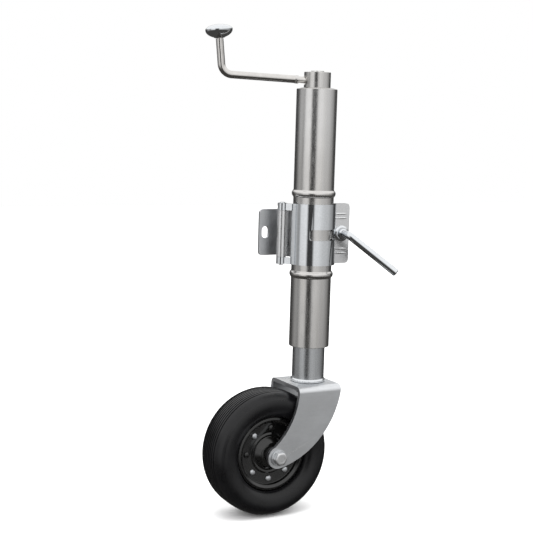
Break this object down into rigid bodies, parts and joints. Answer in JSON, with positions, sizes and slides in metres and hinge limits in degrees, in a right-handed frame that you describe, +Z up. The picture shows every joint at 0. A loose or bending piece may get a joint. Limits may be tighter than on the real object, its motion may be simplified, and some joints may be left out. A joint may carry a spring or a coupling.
{
  "type": "trailer tongue jack",
  "caption": "Telescopic trailer jack: a drawbar clamp holds a crank-wound tube mast with a swivelling fork and a solid rubber wheel.",
  "frame": {"origin": "middle of the back face of the clamp's base plate, the face that bolts to the trailer's drawbar", "axes": "+Z up along the mast, +Y out of the clamp's back face into the drawbar, +X the direction of travel; the wheel trails towards -X"},
  "size_m": [0.277, 0.1331, 0.717],
  "materials": {
    "stainless": "brushed stainless steel, fine lengthwise grain",
    "polished_steel": "polished",
    "zinc_plate": "satin zinc plating",
    "zinc_tube": "drawn tube, zinc plated",
    "black_paint": "gloss black enamel",
    "rubber": "satin black rubber",
    "bronze": "turned bronze",
    "nylon": "natural nylon"
  },
  "bodies": {
    "clamp_base": {"clamp_base_plate": "zinc_plate", "clamp_rear_jaw": "zinc_plate", "clamp_weld_nut": "zinc_plate", "clamp_hinge_pin": "polished_steel"},
    "clamp_jaw": {"clamp_front_jaw": "polished_steel"},
    "clamp_screw_slide": {"clamp_washer": "polished_steel"},
    "clamp_screw": {"clamp_lever": "polished_steel"},
    "mast": {"outer_tube": "stainless", "top_cap": "stainless", "guide_bush": "nylon", "thrust_race_upper": "polished_steel"},
    "ball_cage": {"thrust_ball_cage": "bronze"},
    "crank": {"crank_hub": "stainless", "hub_cross_pin": "zinc_plate", "hub_top_disc": "stainless", "spindle": "zinc_plate", "spindle_stop_pin": "zinc_plate", "spindle_stop_washer": "zinc_plate", "thrust_race_lower": "polished_steel", "crank_arm": "stainless", "arm_ferrule": "stainless", "knob_snap_ring": "zinc_plate"},
    "crank_knob": {"knob": "polished_steel"},
    "column": {"inner_tube": "zinc_tube", "upper_guide_ring": "nylon", "spindle_nut": "bronze", "swivel_plug": "polished_steel", "swivel_washer": "polished_steel", "swivel_nut": "polished_steel"},
    "swivel_fork": {"fork": "zinc_plate", "axle_bolt": "zinc_plate", "axle_nut": "zinc_plate", "axle_washer_near": "zinc_plate", "axle_washer_far": "zinc_plate", "axle_spacer_near": "zinc_plate", "axle_spacer_far": "zinc_plate"},
    "wheel": {"tyre": "rubber", "rim_near": "black_paint", "rim_far": "black_paint", "wheel_hub_tube": "black_paint", "hub_bush_near": "bronze", "hub_bush_far": "bronze", "rim_rivet_1": "zinc_plate", "rim_rivet_2": "black_paint", "rim_rivet_3": "zinc_plate", "rim_rivet_4": "black_paint", "rim_rivet_5": "zinc_plate", "rim_rivet_6": "zinc_plate", "rim_rivet_7": "zinc_plate", "rim_rivet_8": "black_paint"}
  },
  "joints": [
    {"name": "tube_slide", "type": "slide", "parent": "clamp_base", "child": "mast", "axis": [0, 0, 1], "range_m": [-0.0095, 0.0095]},
    {"name": "jaw_swing", "type": "hinge", "parent": "clamp_base", "child": "clamp_jaw", "pos_m": [-0.046, -0.0272, 0], "axis": [0, 0, -1], "range_deg": [0, 100]},
    {"name": "screw_travel", "type": "slide", "parent": "clamp_jaw", "child": "clamp_screw_slide", "axis": [0, -1, 0], "range_m": [0, 0.022]},
    {"name": "screw_turn", "type": "hinge", "parent": "clamp_screw_slide", "child": "clamp_screw", "pos_m": [0.046, -0.0387, 0], "axis": [0, -1, 0], "range_deg": [0, 4500]},
    {"name": "crank_turn", "type": "hinge", "parent": "mast", "child": "crank", "pos_m": [0, -0.0387, 0.2245], "axis": [0, 0, 1], "range_deg": [-4230, 14490]},
    {"name": "cage_turn", "type": "hinge", "parent": "mast", "child": "ball_cage", "pos_m": [0, -0.0387, 0.1873], "axis": [0, 0, 1], "range_deg": [-2120, 7250]},
    {"name": "lift", "type": "slide", "parent": "mast", "child": "column", "axis": [0, 0, -1], "range_m": [-0.0471, 0.1611]},
    {"name": "fork_swivel", "type": "hinge", "parent": "column", "child": "swivel_fork", "pos_m": [0, -0.0387, -0.2226], "axis": [0, 0, 1], "continuous": true},
    {"name": "wheel_spin", "type": "hinge", "parent": "swivel_fork", "child": "wheel", "pos_m": [-0.0712, -0.0387, -0.3234], "axis": [0, 1, 0], "continuous": true},
    {"name": "knob_spin", "type": "hinge", "parent": "crank", "child": "crank_knob", "pos_m": [-0.13573, 0.00166, 0.22969], "axis": [-0.0935, 0.0278, 0.9952], "continuous": true}
  ],
  "couplings": [
    {"joint": "lift", "follows": "crank_turn", "m_per_rad": 0.00063662},
    {"joint": "cage_turn", "follows": "crank_turn", "ratio": 0.5},
    {"joint": "screw_travel", "follows": "screw_turn", "m_per_rad": 0.00027852}
  ]
}
